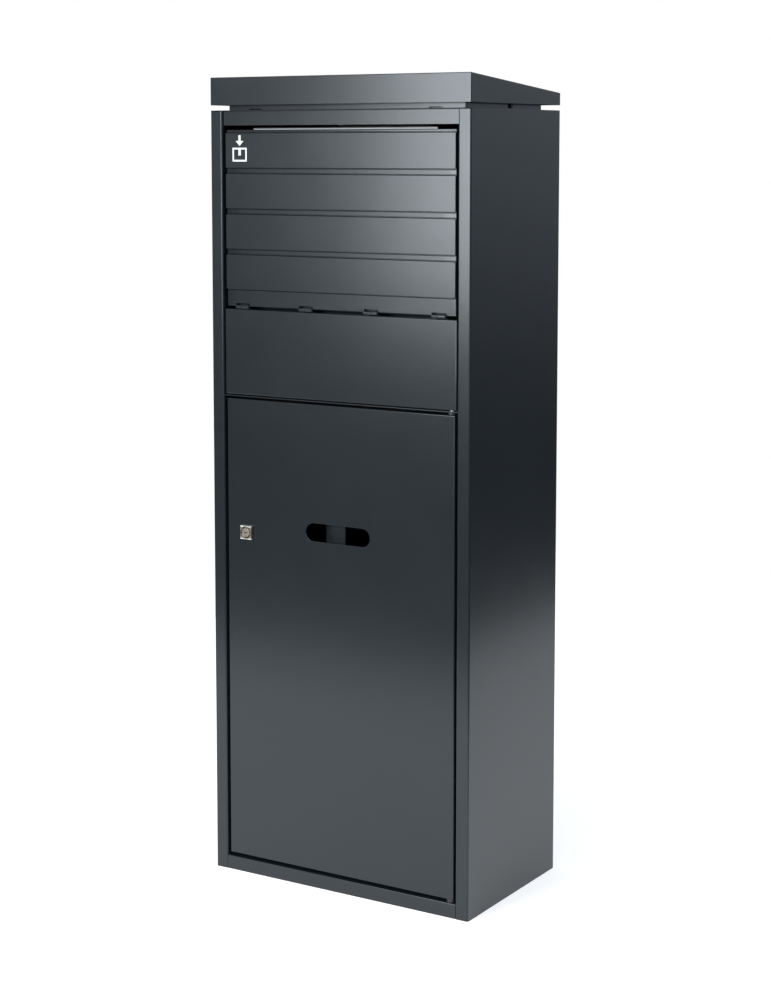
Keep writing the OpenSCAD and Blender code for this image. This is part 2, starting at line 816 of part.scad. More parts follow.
module hatch_tail() {
    n = [cos(tail_slope), sin(tail_slope)];
    p0 = [tail_y0, tail_z0];
    p1 = p0 + tail_dir * tail_l;
    hem = 10;
    top_back = p0 + sheet * n - tail_dir * sheet * (1 - sin(tail_slope)) / cos(tail_slope);
    narrow_x = cheek_x - sheet - 0.3;
    wide_x = in_x - 9.5;
    color(paint) {
        along_x(-narrow_x, narrow_x)
            polygon([[axis_y + 7, tail_z0], p0, p0 + tail_dir * (tail_narrow + sheet),
                     p0 + tail_dir * (tail_narrow + sheet) + sheet * n, top_back,
                     [axis_y + 7, tail_z0 + sheet]]);
        along_x(-wide_x, wide_x)
            polygon([p0 + tail_dir * tail_narrow, p1, p1 + hem * n, p1 + hem * n - tail_dir * sheet,
                     p1 + sheet * n - tail_dir * sheet, p0 + tail_dir * tail_narrow + sheet * n]);
    }
}

module hatch_hinge_leaves() {
    z0 = hatch_z0 - sheet;
    color(paint) for (x = hinge_xs) {
        x0 = x - hinge_w / 2 + knuckle_w + 1;
        difference() {
            union() {
                block([x - hinge_w / 2, axis_y + 3.5, z0], [x + hinge_w / 2, axis_y + hatch_flange_d - 4, hatch_z0]);
                block([x0, axis_y, z0], [x + hinge_w / 2, axis_y + 5, hatch_z0]);
                bar_x(x0, x + hinge_w / 2, axis_y, axis_z, knuckle_r);
            }
            bar_x(x - hinge_w, x + hinge_w, axis_y, axis_z, hinge_pin_r + run_fit);
        }
    }
}

// ---- door ----

module stadium(l, h) {
    translate([-(l - h) / 2, -h / 2]) square([l - h, h]);
    for (s = [-1, 1]) translate([s * (l - h) / 2, 0]) circle(d = h, $fn = 64);
}

module door_pan() {
    color(paint) difference() {
        block([-door_x, face_y, door_z0], [door_x, door_back_y, door_z1]);
        block([-door_x + sheet, face_y + sheet, door_z0 + sheet],
              [door_x - sheet, door_back_y - sheet, door_z1 - sheet]);
        block([-door_x + door_return, face_y + 2 * sheet, door_z0 + door_return],
              [door_x - door_return, door_back_y + over, door_z1 - door_return]);
        along_y(face_y - over, face_y + sheet + over) {
            translate([0, slot_z]) stadium(slot_l, slot_h);
            translate([lock_x, lock_z]) circle(r = lock_body_r + hole_play);
        }
        bar_z(door_z0 - over, door_z0 + sheet + over, pivot_x, pivot_y, bush_r + run_fit);
        bar_z(door_z1 - sheet - over, door_z1 + over, pivot_x, pivot_y, bush_r + run_fit);
    }
}

module grip_plate() {
    y0 = face_y + grip_gap;
    bend_x = grip_edge - grip_flat;
    end_x = bend_x - grip_r * sin(60);
    end_y = y0 + grip_r * (1 - cos(60));
    skin_y = face_y + sheet;
    color(paint) {
        along_z(slot_z - grip_half_h, slot_z + grip_half_h) {
            translate([bend_x, y0]) square([grip_flat, sheet]);
            translate([bend_x, y0 + grip_r]) intersection() {
                difference() {
                    circle(r = grip_r, $fn = 96);
                    circle(r = grip_r - sheet, $fn = 96);
                }
                polygon([[0, 0], [0, -2 * grip_r], [-2 * grip_r * sin(60), -2 * grip_r * cos(60)]]);
            }
        }
        for (z = [slot_z - grip_half_h - sheet, slot_z + grip_half_h])
            along_z(z, z + sheet) {
                translate([bend_x, skin_y]) square([grip_flat, y0 + sheet - skin_y]);
                difference() {
                    translate([end_x, skin_y]) square([bend_x - end_x, end_y - skin_y]);
                    translate([bend_x, y0 + grip_r]) circle(r = grip_r - sheet, $fn = 96);
                }
            }
    }
}

module door_stiffeners() {
    half = 15;
    skin_y = face_y + sheet;
    depth = door_d - 2 * sheet - 0.5;
    color(steel) for (x = [-stiffener_x, stiffener_x])
        along_z(door_z0 + 30, door_z1 - 30) difference() {
            translate([x - half, skin_y]) square([2 * half, depth]);
            translate([x - half + sheet, skin_y - over]) square([2 * (half - sheet), depth - sheet + over]);
        }
}

module door_pivot_bushes() {
    color(nylon) difference() {
        union() {
            bar_z(door_z0, door_z0 + sheet + 6, pivot_x, pivot_y, bush_r);
            bar_z(door_z0 + sheet, door_z0 + 2 * sheet, pivot_x, pivot_y, bush_flange_r);
            bar_z(door_z1 - sheet - 6, door_z1, pivot_x, pivot_y, bush_r);
            bar_z(door_z1 - 2 * sheet, door_z1 - sheet, pivot_x, pivot_y, bush_flange_r);
        }
        bar_z(0, cabinet_h, pivot_x, pivot_y, pivot_r + run_fit);
    }
}

module lock_housing() {
    color(nickel) difference() {
        union() {
            block([lock_x - lock_face / 2, lock_face_y, lock_z - lock_face / 2],
                  [lock_x + lock_face / 2, face_y, lock_z + lock_face / 2]);
            bar_y(face_y, lock_back_y, lock_x, lock_z, lock_body_r);
        }
        bar_y(lock_face_y - over, lock_back_y + over, lock_x, lock_z, plug_r + run_fit);
    }
}

module lock_nut() {
    y0 = face_y + sheet;
    color(steel) difference() {
        translate([lock_x, y0 + 4, lock_z]) rotate([90, 0, 0]) cylinder(h = 4, r = lock_body_r * 1.45, $fn = 6);
        bar_y(y0 - over, y0 + 4 + over, lock_x, lock_z, lock_body_r + run_fit);
    }
}

module lock_plug() {
    color(nickel) difference() {
        union() {
            bar_y(lock_face_y + 0.4, cam_y, lock_x, lock_z, plug_r);
            block([lock_x - spigot / 2, cam_y - over, lock_z - spigot / 2],
                  [lock_x + spigot / 2, cam_y + cam_t, lock_z + spigot / 2]);
        }
        block([lock_x - key_w / 2, lock_face_y - over, lock_z - key_t / 2],
              [lock_x + key_w / 2, lock_face_y + key_d, lock_z + key_t / 2]);
        bar_y(cam_y - 7, cam_y + cam_t + over, lock_x, lock_z, 1.5 + hole_play);
    }
}

module lock_cam() {
    hub_r = 9;
    half_t = 7;
    color(steel) along_y(cam_y, cam_y + cam_t) translate([lock_x, lock_z]) difference() {
        union() {
            circle(r = hub_r);
            translate([-half_t, -cam_l]) square([2 * half_t, cam_l]);
        }
        square(spigot + 0.2, center = true);
    }
}

module cam_screw() {
    y0 = cam_y + cam_t;
    color(steel) {
        bar_y(y0 - 7, y0, lock_x, lock_z, 1.5);
        bar_y(y0, y0 + 2.4, lock_x, lock_z, 5.5);
    }
}

left_side_panel();
right_side_panel();
back_panel();
base_pan();
top_plate();
top_rail();
roof_neck();
neck_screws();
neck_nuts();
roof_cap();
roof_brackets();
roof_screws();
middle_panel();
panel_spacers();
panel_screws();
panel_nuts();
door_header();
hatch_buffers();
frame_hinge_leaves();
hatch_hinge_pins();
door_pivot_pins();
door_pivot_washers();
door_stops();
door_buffers();
latch_housing();
latch_motor();
latch_screws();
latch_bolt();
controller_case();
controller_cover();
circuit_board();
battery_cells();
case_screws();
latch_cable();
cable_clips();
hatch_pan();
top_slat();
upper_slats();
bottom_slat();
slat_rivets();
grip_lip();
left_cheek();
right_cheek();
hatch_tail();
hatch_hinge_leaves();
stop_pins();
door_pan();
grip_plate();
door_stiffeners();
door_pivot_bushes();
lock_housing();
lock_nut();
lock_plug();
lock_cam();
cam_screw();
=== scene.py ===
import bpy
import bmesh
import json
from math import radians, cos, pi
from mathutils import Matrix, Vector


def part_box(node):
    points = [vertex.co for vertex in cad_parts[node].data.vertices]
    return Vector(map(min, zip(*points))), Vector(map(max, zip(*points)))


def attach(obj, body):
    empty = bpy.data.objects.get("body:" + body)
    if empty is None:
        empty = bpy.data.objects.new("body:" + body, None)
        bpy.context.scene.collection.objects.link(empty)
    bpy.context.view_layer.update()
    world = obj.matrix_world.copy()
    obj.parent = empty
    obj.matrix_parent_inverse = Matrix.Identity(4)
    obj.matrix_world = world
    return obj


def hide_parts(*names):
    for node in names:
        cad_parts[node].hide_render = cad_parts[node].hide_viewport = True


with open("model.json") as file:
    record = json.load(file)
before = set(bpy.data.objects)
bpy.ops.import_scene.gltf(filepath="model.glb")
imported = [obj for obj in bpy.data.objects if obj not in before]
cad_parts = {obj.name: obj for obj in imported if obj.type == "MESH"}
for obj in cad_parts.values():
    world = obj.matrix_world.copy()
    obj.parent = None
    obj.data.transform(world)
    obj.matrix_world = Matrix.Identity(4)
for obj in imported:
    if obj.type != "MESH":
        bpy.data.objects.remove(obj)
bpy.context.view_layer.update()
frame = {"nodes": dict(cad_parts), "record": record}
nodes = frame["nodes"]
print("frame loaded:", len(nodes), "CAD nodes")

mm = 0.001


# camera and lamps

cameraSetup = {
    "place": (1.65012, -2.64934, 1.11369),
    "turn": 31.986,       # degrees to the left of straight ahead
    "tilt": 6.126,        # degrees below the horizon
    "lens": 74.372,
    "sensor": 36,
    "shift": (0.0029, -0.1300),
    "farthest": 60,
}

def makeCamera():
    lens = bpy.data.cameras.new("mainCamera")
    lens.lens = cameraSetup["lens"]
    lens.sensor_width = cameraSetup["sensor"]
    lens.shift_x, lens.shift_y = cameraSetup["shift"]
    lens.clip_end = cameraSetup["farthest"]
    camera = bpy.data.objects.new("mainCamera", lens)
    turn = Matrix.Rotation(radians(cameraSetup["turn"]), 4, "Z")
    tilt = Matrix.Rotation(radians(90 - cameraSetup["tilt"]), 4, "X")
    camera.matrix_world = Matrix.Translation(cameraSetup["place"]) @ turn @ tilt
    bpy.context.scene.collection.objects.link(camera)
    bpy.context.scene.camera = camera

# metres and watts
lamps = {
    "keySoft": {
        "place": (-0.93, -3.2, 1.55), "aim": (0.0, 0.0, 1.30), "size": (1.5, 1.80), "power": 107,
    },
    "topSoft": {
        "place": (0.3, -0.5, 3.6), "aim": (0.1, 0.0, 0.0), "size": (2.2, 2.2), "power": 30,
    },
}

def makeLamps():
    for name, lamp in lamps.items():
        light = bpy.data.lights.new(name, "AREA")
        light.shape = "RECTANGLE"
        light.size, light.size_y = lamp["size"]
        light.energy = lamp["power"]
        holder = bpy.data.objects.new(name, light)
        away = Vector(lamp["place"]) - Vector(lamp["aim"])
        facing = away.to_track_quat("Z", "Y").to_matrix().to_4x4()
        holder.matrix_world = Matrix.Translation(lamp["place"]) @ facing
        holder.visible_camera = False
        bpy.context.scene.collection.objects.link(holder)

makeCamera()
makeLamps()
print("camera and lamps ready")


# shader maths: a Wire is one socket of a node tree, and adding or multiplying wires adds Math nodes

def feed(tree, slot, value):
    if isinstance(value, Wire):
        tree.links.new(value.socket, slot)
    else:
        slot.default_value = value

class Wire:
    def __init__(self, tree, socket):
        self.tree, self.socket = tree, socket

    def calc(self, operation, other, swapped=False, clamp=False):
        node = self.tree.nodes.new("ShaderNodeMath")
        node.operation, node.use_clamp = operation, clamp
        pair = (other, self) if swapped else (self, other)
        for slot, value in zip(node.inputs, pair):
            feed(self.tree, slot, value)
        return Wire(self.tree, node.outputs[0])

    def __add__(self, other): return self.calc("ADD", other)
    def __radd__(self, other): return self.calc("ADD", other, True)
    def __sub__(self, other): return self.calc("SUBTRACT", other)
    def __rsub__(self, other): return self.calc("SUBTRACT", other, True)
    def __mul__(self, other): return self.calc("MULTIPLY", other)
    def __rmul__(self, other): return self.calc("MULTIPLY", other, True)
    def __pow__(self, other): return self.calc("POWER", other)
    def above(self, edge): return self.calc("GREATER_THAN", edge)
    def below(self, edge): return self.calc("LESS_THAN", edge)
    def held(self): return self.calc("ADD", 0.0, clamp=True)


class Graph:
    # the nodes of a material or a world, with the coordinates that it reads
    def __init__(self, owner, coordinates):
        owner.use_nodes = True
        self.tree = owner.node_tree
        self.tree.nodes.clear()
        self.place = self.make("ShaderNodeTexCoord", out=coordinates)

    def find(self, sockets, key):
        for socket in sockets:
            if key in (socket.identifier, socket.name) and socket.enabled:
                return socket
        raise KeyError(key)

    def make(self, kind, settings=None, values=None, out=0):
        node = self.tree.nodes.new(kind)
        for key, value in (settings or {}).items():
            setattr(node, key, value)
        for key, value in (values or {}).items():
            feed(self.tree, self.find(node.inputs, key), value)
        if len(node.outputs) == 0:
            return None
        found = node.outputs[out] if isinstance(out, int) else self.find(node.outputs, out)
        return Wire(self.tree, found)

    def axis(self, letter):
        return self.make("ShaderNodeSeparateXYZ", {}, {"Vector": self.place}, letter)

    def ramp(self, fac, start, end, first=0.0, last=1.0):
        return self.make("ShaderNodeMapRange", {"clamp": True},
                         {"Value": fac, "From Min": start, "From Max": end,
                          "To Min": first, "To Max": last}, "Result")


def shade(r, g, b):
    return (r, g, b, 1.0)

socketNames = {
    "color": "Base Color", "rough": "Roughness", "metal": "Metallic", "normal": "Normal",
    "ior": "IOR", "level": "Specular IOR Level", "tint": "Specular Tint",
    "glow": "Emission Color", "glowStrength": "Emission Strength",
}

class Finish(Graph):
    def __init__(self, name):
        self.material = bpy.data.materials.new(name)
        super().__init__(self.material, "Object")
        self.shader = self.make("ShaderNodeBsdfPrincipled")
        self.make("ShaderNodeOutputMaterial", {}, {"Surface": self.shader})

    def set(self, **values):
        for key, value in values.items():
            feed(self.tree, self.shader.socket.node.inputs[socketNames[key]], value)

    def noise(self, scale, detail=2.0, rough=0.5, stretch=(1, 1, 1), shift=(0, 0, 0)):
        spot = self.make("ShaderNodeMapping", {},
                         {"Vector": self.place, "Scale": stretch, "Location": shift})
        return self.make("ShaderNodeTexNoise", {"noise_dimensions": "3D"},
                         {"Vector": spot, "Scale": scale, "Detail": detail, "Roughness": rough}, "Fac")

    def cells(self, scale):
        return self.make("ShaderNodeTexVoronoi", {"feature": "F1"},
                         {"Vector": self.place, "Scale": scale}, "Distance")

    def blend(self, fac, first, second):
        return self.make("ShaderNodeMix", {"data_type": "RGBA", "blend_type": "MIX"},
                         {"Factor_Float": fac, "A_Color": first, "B_Color": second}, "Result_Color")

    def bump(self, height, strength, depth, below=None):
        values = {"Strength": strength, "Distance": depth, "Height": height}
        if below:
            values["Normal"] = below
        return self.make("ShaderNodeBump", {}, values, "Normal")


# the studio round it, and the extent and glow of its pale floor

room = {
    "seen": 1.0,                # what the camera sees behind the floor
    "above": 0.46,              # light from the upper half of the studio
    "below": 0.035,             # and from its dark floor, beyond the pale sheet
    "horizon": (-0.12, 0.04),   # where the one turns into the other
    "tone": shade(0.88, 0.96, 1.04),
    "sideways": (0.62, 1.75),   # times the light at the far left, and at the far right
    "sheetLow": (-1.25, -1.35), "sheetHigh": (1.06, 2.4),
    "glow": 0.50,
}

def makeRoom():
    world = bpy.data.worlds.new("studio")
    bpy.context.scene.world = world
    bpy.context.scene.view_settings.view_transform = "Standard"
    studio = Graph(world, "Generated")
    upward = studio.ramp(studio.axis("Z"), *room["horizon"], room["below"], room["above"])
    across = studio.ramp(studio.axis("X"), -1, 1, *room["sideways"])
    dim = studio.make("ShaderNodeBackground", {}, {"Color": room["tone"], "Strength": upward * across})
    white = studio.make("ShaderNodeBackground", {}, {"Color": shade(1, 1, 1), "Strength": room["seen"]})
    seen = studio.make("ShaderNodeLightPath", out="Is Camera Ray")
    both = studio.make("ShaderNodeMixShader", {}, {"Fac": seen, "Shader": dim, "Shader_001": white})
    studio.make("ShaderNodeOutputWorld", {}, {"Surface": both})

makeRoom()
print("room ready")


# materials: a noise is given by its scale, detail and roughness, and a mask by its two ends

powderLook = {
    "main": shade(0.0125, 0.0160, 0.0187), "light": shade(0.0152, 0.0190, 0.0218),
    "cloud": (3.2, 3.0, 0.55), "cloudMask": (0.35, 0.65), "grainShare": 0.4,
    "dust": shade(0.080, 0.082, 0.082), "dusty": 0.04,
    "dustNoise": (60, 5.0, 0.7), "dustMask": (0.60, 0.85),
    "rough": 0.205, "smudge": (14.0, 4.0, 0.6), "smudgeRough": 0.05, "grainRough": 0.04,
    "level": 0.47, "ior": 1.5, "tint": shade(0.88, 0.945, 1.00),
    "peel": (420, 2.0, 0.45), "peelDepth": 0.0004,
    "grain": (1500, 1.0), "grainDepth": 0.00012, "relief": 0.06,
}

def powderCoat(name, shift=(0, 0, 0), dusty=powderLook["dusty"]):
    f, look = Finish(name), powderLook
    cloud = f.noise(*look["cloud"], shift=shift)
    smudge = f.noise(*look["smudge"], shift=shift)
    grain = f.noise(*look["grain"])
    mottled = cloud * (1 - look["grainShare"]) + grain * look["grainShare"]
    paint = f.blend(f.ramp(mottled, *look["cloudMask"]), look["main"], look["light"])
    dust = f.ramp(f.noise(*look["dustNoise"], shift=shift), *look["dustMask"]) * dusty
    f.set(color=f.blend(dust, paint, look["dust"]))
    f.set(rough=look["rough"] + look["smudgeRough"] * (smudge - 0.5)
          + look["grainRough"] * (grain - 0.5) + dust)
    soft = f.bump(f.noise(*look["peel"]), look["relief"], look["peelDepth"])
    f.set(normal=f.bump(grain, look["relief"], look["grainDepth"], soft))
    f.set(level=look["level"], ior=look["ior"], tint=look["tint"])
    return f.material

# the same paint, with a pale painted highlight in a line just above the hatch, standing in for light
# caught by the lip's top edge
lipHighlightLook = {
    "wornTo": 2.0 * mm, "highlightFrom": 1.5 * mm,     # above the hatch's top edge
    "primer": (shade(0.36, 0.37, 0.38), shade(0.50, 0.51, 0.52)), "patch": (40, 3.0, 0.6),
    "highlightRough": 0.2,
}

def lipPaintedHighlight(name):
    f, look = Finish(name), lipHighlightLook
    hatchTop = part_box("hatch_pan")[1].z
    # painted highlight: a pale band just above the hatch's top edge, where light catches the lip
    highlightMask = f.ramp(f.axis("Z"), hatchTop + look["wornTo"], hatchTop + look["highlightFrom"])
    primer = f.blend(f.noise(*look["patch"]), *look["primer"])
    f.set(color=f.blend(highlightMask, powderLook["main"], primer), tint=powderLook["tint"])
    f.set(rough=powderLook["rough"] + look["highlightRough"] * highlightMask)
    peel = f.noise(*powderLook["peel"])
    f.set(normal=f.bump(peel, powderLook["relief"], powderLook["peelDepth"]))
    return f.material

zincLook = {
    "plain": shade(0.58, 0.59, 0.60), "bluish": shade(0.50, 0.53, 0.56),
    "patch": (42, 4.0, 0.6), "patchMask": (0.4, 0.62),
    "streak": (260, 3.0, 0.6), "streakWay": (1, 1, 0.08),
    "rough": 0.30, "streakRough": 0.16, "bluishRough": 0.08, "relief": 0.12, "depth": 0.0002,
}

def zincSteel(name):
    f, look = Finish(name), zincLook
    streak = f.noise(*look["streak"], stretch=look["streakWay"])
    bluish = f.ramp(f.noise(*look["patch"]), *look["patchMask"])
    f.set(color=f.blend(bluish, look["plain"], look["bluish"]), metal=1.0)
    f.set(rough=look["rough"] + look["streakRough"] * streak + look["bluishRough"] * bluish)
    f.set(normal=f.bump(streak, look["relief"], look["depth"]))
    return f.material

# worn satin plating, with a painted highlight along its top and bottom rims, and darker in the ring
# round the plug and in scattered spots
nickelLook = {
    "clean": shade(0.50, 0.46, 0.39), "tarnished": shade(0.34, 0.30, 0.25),
    "bright": shade(0.95, 0.94, 0.90), "grease": shade(0.055, 0.046, 0.036),
    "ringInside": (6.9, 7.4), "ringOutside": (9.8, 9.2),     # millimetres from the plug's axis
    "rim": (2.6 * mm, 1.7 * mm),                             # from the top and bottom edges
    "rub": (260, 4.0, 0.65), "tarnishMask": (0.4, 0.7),
    "ringMask": (0.22, 0.45), "spotMask": (0.52, 0.70), "spots": 0.5,
    "brushed": (900, 2.0, 0.5), "brushWay": (0.06, 1, 1),
    "rough": 0.24, "brushedRough": 0.16, "darkenedRough": 0.25, "relief": 0.10, "depth": 0.0001,
}

lockLow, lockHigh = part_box("lock_housing")
lockCentre = Vector(((lockLow.x + lockHigh.x) / 2, lockLow.y, (lockLow.z + lockHigh.z) / 2))

def satinNickel(name):
    f, look = Finish(name), nickelLook
    sideways, upward = f.axis("X") - lockCentre.x, f.axis("Z") - lockCentre.z
    reach = (sideways ** 2.0 + upward ** 2.0) ** 0.5 * (1 / mm)
    brushed = f.noise(*look["brushed"], stretch=look["brushWay"])
    rub = f.noise(*look["rub"])
    ring = f.ramp(reach, *look["ringInside"]) * f.ramp(reach, *look["ringOutside"])
    spots = look["spots"] * f.ramp(rub, *look["spotMask"])
    # darker colour in the ring round the plug and in scattered spots
    grease = (ring * f.ramp(rub, *look["ringMask"]) + spots).held()
    dull = f.blend(f.ramp(rub, *look["tarnishMask"]), look["clean"], look["tarnished"])
    half = (lockHigh.z - lockLow.z) / 2
    # painted highlight: near-white colour on the top and bottom rims of the face, where light catches
    # its edges
    rim = f.ramp((upward ** 2.0) ** 0.5, half - look["rim"][0], half - look["rim"][1])
    platingAndHighlight = f.blend(rim, dull, look["bright"])
    f.set(color=f.blend(grease, platingAndHighlight, look["grease"]), metal=1.0)
    f.set(rough=look["rough"] + look["brushedRough"] * brushed + look["darkenedRough"] * grease)
    f.set(normal=f.bump(brushed, look["relief"], look["depth"]))
    return f.material

plasticLook = {
    "cloud": (30, 3.0, 0.6), "cloudMask": (0.4, 0.65), "cloudRough": 0.12, "relief": 0.25,
    "blackNylon": {"main": shade(0.030, 0.030, 0.031), "speckle": shade(0.042, 0.042, 0.043),
                   "rough": 0.38, "pits": 900, "depth": 0.00006},
    "blackCase": {"main": shade(0.020, 0.020, 0.022), "speckle": shade(0.028, 0.028, 0.030),
                  "rough": 0.45, "pits": 1400, "depth": 0.0001},
    "blackScrew": {"main": shade(0.012, 0.012, 0.012), "speckle": shade(0.022, 0.021, 0.020),
                   "rough": 0.40, "pits": 1100, "depth": 0.00005},
}

def plastic(name):
    f, look, own = Finish(name), plasticLook, plasticLook[name]
    cloud = f.noise(*look["cloud"])
    f.set(color=f.blend(f.ramp(cloud, *look["cloudMask"]), own["main"], own["speckle"]))
    f.set(rough=own["rough"] + look["cloudRough"] * cloud)
    f.set(normal=f.bump(f.cells(own["pits"]), look["relief"], own["depth"]))
    return f.material

# surfaces that one noise varies: its mask, its two shades, and the least roughness and what it adds
plainLook = {
    "blackRubber": {"noise": (160, 4.0, 0.65), "mask": (0.5, 0.8), "rough": (0.72, 0.15),
                    "shades": (shade(0.018, 0.018, 0.018), shade(0.060, 0.058, 0.055)),
                    "relief": 0.3, "depth": 0.0002},
    "cableJacket": {"noise": (700, 2.0), "mask": (0.3, 0.7), "rough": (0.42, 0.15),
                    "shades": (shade(0.014, 0.014, 0.015), shade(0.026, 0.026, 0.028)),
                    "relief": 0.2, "depth": 0.0001},
    "whiteInk": {"noise": (1400, 2.0), "mask": (0.0, 1.0), "rough": (0.42, 0.1),
                 "shades": (shade(0.72, 0.73, 0.73), shade(0.82, 0.83, 0.83)),
                 "relief": 0.1, "depth": 0.0001},
}

def plainSkin(name):
    f, look = Finish(name), plainLook[name]
    pattern = f.noise(*look["noise"])
    f.set(color=f.blend(f.ramp(pattern, *look["mask"]), *look["shades"]))
    f.set(rough=look["rough"][0] + look["rough"][1] * pattern)
    f.set(normal=f.bump(pattern, look["relief"], look["depth"]))
    return f.material

boardLook = {
    "lanes": {"Color1": shade(0.03, 0.17, 0.07), "Color2": shade(0.02, 0.12, 0.05),
              "Mortar": shade(0.05, 0.24, 0.10), "Scale": 90.0, "Mortar Size": 0.015},
    "pad": shade(0.60, 0.52, 0.30), "padScale": 260.0, "padSize": 0.16,
    "rough": 0.30, "padRough": 0.1,
}

def solderMask(name):
    f, look = Finish(name), boardLook
    lanes = f.make("ShaderNodeTexBrick", {"offset": 0.5, "squash": 1.0},
                   {"Vector": f.place, **look["lanes"]}, "Color")
    pad = f.cells(look["padScale"]).below(look["padSize"])
    f.set(color=f.blend(pad, lanes, look["pad"]), metal=pad)
    f.set(rough=look["rough"] + look["padRough"] * pad)
    return f.material

cellLook = {
    "dark": shade(0.05, 0.06, 0.08), "band": shade(0.36, 0.22, 0.09), "bandFrom": 0.72,
    "tip": shade(0.62, 0.62, 0.62), "tipLength": 1.6 * mm,
    "rough": 0.26, "scuff": (220, 2.0), "scuffRough": 0.12,
}

def cellWrap(name):
    f, look = Finish(name), cellLook
    start, end = (corner.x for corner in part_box("battery_cells"))
    sideways = f.axis("X")
    band = sideways.above(start + look["bandFrom"] * (end - start))
    tip = sideways.above(end - look["tipLength"])
    f.set(color=f.blend(tip, f.blend(band, look["dark"], look["band"]), look["tip"]), metal=tip)
    f.set(rough=look["rough"] + look["scuffRough"] * f.noise(*look["scuff"]))
    return f.material

floorLook = {
    "shades": (shade(0.90, 0.90, 0.90), shade(0.93, 0.93, 0.93)), "cloud": (2.0, 2.0),
    "rough": 0.85,
}

def paleFloor(name):
    f, look = Finish(name), floorLook
    f.set(color=f.blend(f.noise(*look["cloud"]), *look["shades"]), rough=look["rough"])
    f.set(glow=shade(1, 1, 1), glowStrength=room["glow"])
    return f.material

# the same coat on each sheet, with its clouds in other places
paints = {
    "cabinetCoat": powderCoat("cabinetCoat"),
    "hatchCoat": powderCoat("hatchCoat", shift=(3.1, 0.4, 1.7)),
    "doorCoat": powderCoat("doorCoat", shift=(7.3, 2.2, 5.1)),
    "roofCoat": powderCoat("roofCoat", shift=(1.9, 6.0, 0.3), dusty=0.05),
    "lipCoat": lipPaintedHighlight("lipCoat"),
}
nickel = satinNickel("satinNickel")
print("materials ready")


# pieces

bodyOf = {node: body for body, members in frame["record"]["behaviour"]["bodies"].items()
          for node in members}

near = {
    "weld": 0.0005 * mm,    # points of a finished piece that become one
    "merge": 0.002 * mm,    # and of the loose triangles that it starts from
    "cut": 0.001 * mm,
    "plane": 0.02 * mm,     # what still counts as lying on a plane
    "flat": radians(0.5),   # the most that faces dissolved into one may turn
}

def evenNormals(mesh, smooth):
    # each corner takes the area-weighted normal of the faces that turn smoothly into its own
    least = cos(radians(smooth))
    around = [[] for vertex in mesh.vertices]
    for polygon in mesh.polygons:
        for vertex in polygon.vertices:
            around[vertex].append(polygon)
    normals = []
    for polygon in mesh.polygons:
        for vertex in polygon.vertices:
            total = Vector()
            for other in around[vertex]:
                if other.normal.dot(polygon.normal) > least:
                    total += other.normal * other.area
            normals.append(total.normalized() if total.length > 0 else polygon.normal)
    mesh.normals_split_custom_set(normals)

def finishPiece(name, bm, body, material, replaced=(), smooth=50):
    bmesh.ops.remove_doubles(bm, verts=bm.verts, dist=near["weld"])
    bmesh.ops.dissolve_degenerate(bm, edges=bm.edges, dist=near["weld"])
    mesh = bpy.data.meshes.new(name)
    bm.to_mesh(mesh)
    bm.free()
    for polygon in mesh.polygons:
        polygon.use_smooth = True
    evenNormals(mesh, smooth)
    piece = bpy.data.objects.new(name, mesh)
    bpy.context.scene.collection.objects.link(piece)
    mesh.materials.append(material)
    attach(piece, body)
    if replaced:
        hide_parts(*replaced)

def mergedCopy(node):
    bm = bmesh.new()
    bm.from_mesh(nodes[node].data)
    bmesh.ops.remove_doubles(bm, verts=bm.verts, dist=near["merge"])
    bmesh.ops.dissolve_limit(bm, angle_limit=near["flat"], use_dissolve_boundaries=False,
                             verts=bm.verts, edges=bm.edges)
    return bm

def bend(bm, radius, test, segments=4, least=30):
    # rounds the outward edges that turn by more than least degrees and pass the test
    edges = [e for e in bm.edges if len(e.link_faces) == 2 and e.is_convex
             and e.calc_face_angle(0.0) > radians(least) and test(e)]
    if edges:
        bmesh.ops.bevel(bm, geom=edges, offset=radius, offset_type="OFFSET", affect="EDGES",
                        segments=segments, profile=0.5, material=-1, clamp_overlap=False)

def sliceFaces(bm, faces, place, across):
    edges = dict.fromkeys(e for f in faces for e in f.edges)
    verts = dict.fromkeys(v for f in faces for v in f.verts)
    bmesh.ops.bisect_plane(bm, geom=[*faces, *edges, *verts], dist=near["cut"],
                           plane_co=place, plane_no=across)

def onPlane(axis, place):
    return lambda e: all(abs(v.co[axis] - place) < near["plane"] for v in e.verts)

def along(edge, axis):
    way = (edge.verts[1].co - edge.verts[0].co).normalized()
    return abs(way[axis]) > 0.99

def onOutline(edge, corners, flat):
    # true where an edge of a face lies on the outer border of its node's box
    return any(onPlane(axis, corners[side][axis])(edge)
               for axis in {0, 1, 2} - {flat} for side in (0, 1))

def camel(words, ending=""):
    first, *rest = words.split("_")
    return first + "".join(word.capitalize() for word in rest) + ending


# the roof, and the lap where its front face is folded round onto its side
roofFold = {
    "front": 1.8 * mm, "corner": 1.3 * mm,
    "lapFoot": (-0.1010, 1.1780), "lapHead": (-0.1220, 1.2190),
    "lapWidth": 1.5 * mm, "lapDepth": 0.45 * mm,
}

